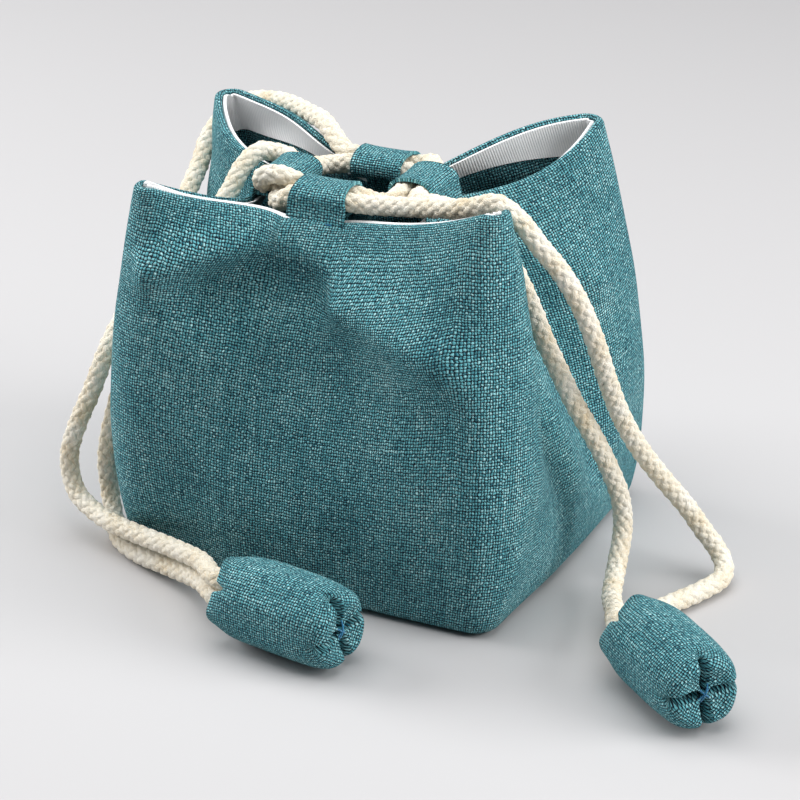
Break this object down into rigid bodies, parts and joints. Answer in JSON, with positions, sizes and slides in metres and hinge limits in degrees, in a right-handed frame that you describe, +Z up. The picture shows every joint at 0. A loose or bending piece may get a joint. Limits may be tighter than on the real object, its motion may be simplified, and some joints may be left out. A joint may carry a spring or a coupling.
{
  "type": "jewelry pouch",
  "caption": "Square drawstring pouch of woven cloth, with stitched loops at the rim, round cords through them and stuffed cord ends, that opens and draws shut.",
  "frame": {"origin": "on the floor, under the middle of the flat base", "axes": "+Z up, the front wall faces -Y and the right wall faces +X"},
  "size_m": [0.2005, 0.143, 0.1123],
  "materials": {
    "cloth": "matte coarse plain weave",
    "lining": "matte coarse plain weave",
    "facing": "matte ribbed cloth",
    "cord": "matte round braid",
    "filling": "loose fibre"
  },
  "bodies": {
    "body": {"outer_corner_front_right": "cloth", "outer_corner_back_right": "cloth", "outer_corner_back_left": "cloth", "outer_corner_front_left": "cloth", "lining_corner_front_right": "lining", "lining_corner_back_right": "lining", "lining_corner_back_left": "lining", "lining_corner_front_left": "lining", "facing_corner_front_right": "facing", "facing_corner_back_right": "facing", "facing_corner_back_left": "facing", "facing_corner_front_left": "facing", "base_panel": "cloth", "base_lining": "lining", "right_cord_right_to_back": "cord", "right_cord_back_to_left": "cord", "right_cord_left_to_front": "cord", "left_cord_front_to_right": "cord", "left_cord_right_to_back": "cord", "left_cord_left_to_front": "cord", "right_cord_back_strand": "cord", "right_cord_front_strand": "cord", "left_cord_back_strand": "cord", "left_cord_front_strand": "cord"},
    "front_flap": {"outer_middle_front": "cloth", "lining_middle_front": "lining", "facing_middle_front": "facing", "loop_front": "cloth"},
    "right_flap": {"outer_middle_right": "cloth", "lining_middle_right": "lining", "facing_middle_right": "facing", "loop_right": "cloth"},
    "back_flap": {"outer_middle_back": "cloth", "lining_middle_back": "lining", "facing_middle_back": "facing", "loop_back": "cloth"},
    "left_flap": {"outer_middle_left": "cloth", "lining_middle_left": "lining", "facing_middle_left": "facing", "loop_left": "cloth"},
    "left_bud": {"bud_cover_left": "cloth", "bud_filling_left": "filling"},
    "right_bud": {"bud_cover_right": "cloth", "bud_filling_right": "filling"}
  },
  "joints": [
    {"name": "front_open", "type": "hinge", "parent": "body", "child": "front_flap", "pos_m": [0, -0.048, 0], "axis": [1, 0, 0], "range_deg": [0, 13], "deforming": ["right_cord_left_to_front", "left_cord_left_to_front", "left_cord_front_to_right"]},
    {"name": "right_open", "type": "hinge", "parent": "body", "child": "right_flap", "pos_m": [0.0537, 0, 0], "axis": [0, 1, 0], "range_deg": [0, 20.1], "deforming": ["right_cord_right_to_back", "left_cord_right_to_back"]},
    {"name": "back_open", "type": "hinge", "parent": "body", "child": "back_flap", "pos_m": [0, 0.0485, 0], "axis": [-1, 0, 0], "range_deg": [0, 17.1], "deforming": ["right_cord_back_to_left"]},
    {"name": "left_open", "type": "hinge", "parent": "body", "child": "left_flap", "pos_m": [-0.0537, 0, 0], "axis": [0, -1, 0], "range_deg": [0, 15.1]},
    {"name": "left_bud_draw", "type": "slide", "parent": "body", "child": "left_bud", "axis": [-0.9781, 0.2079, 0], "range_m": [0, 0.0201], "deforming": ["left_cord_back_strand", "left_cord_front_strand"]},
    {"name": "right_bud_draw", "type": "slide", "parent": "body", "child": "right_bud", "axis": [-0.7547, 0.6561, 0], "range_m": [0, 0.0201], "deforming": ["right_cord_back_strand", "right_cord_front_strand"]}
  ],
  "couplings": [
    {"joint": "right_open", "follows": "front_open", "ratio": 1.5385},
    {"joint": "back_open", "follows": "front_open", "ratio": 1.3077},
    {"joint": "left_open", "follows": "front_open", "ratio": 1.1538},
    {"joint": "left_bud_draw", "follows": "front_open", "m_per_rad": 0.088},
    {"joint": "right_bud_draw", "follows": "front_open", "m_per_rad": 0.088}
  ]
}
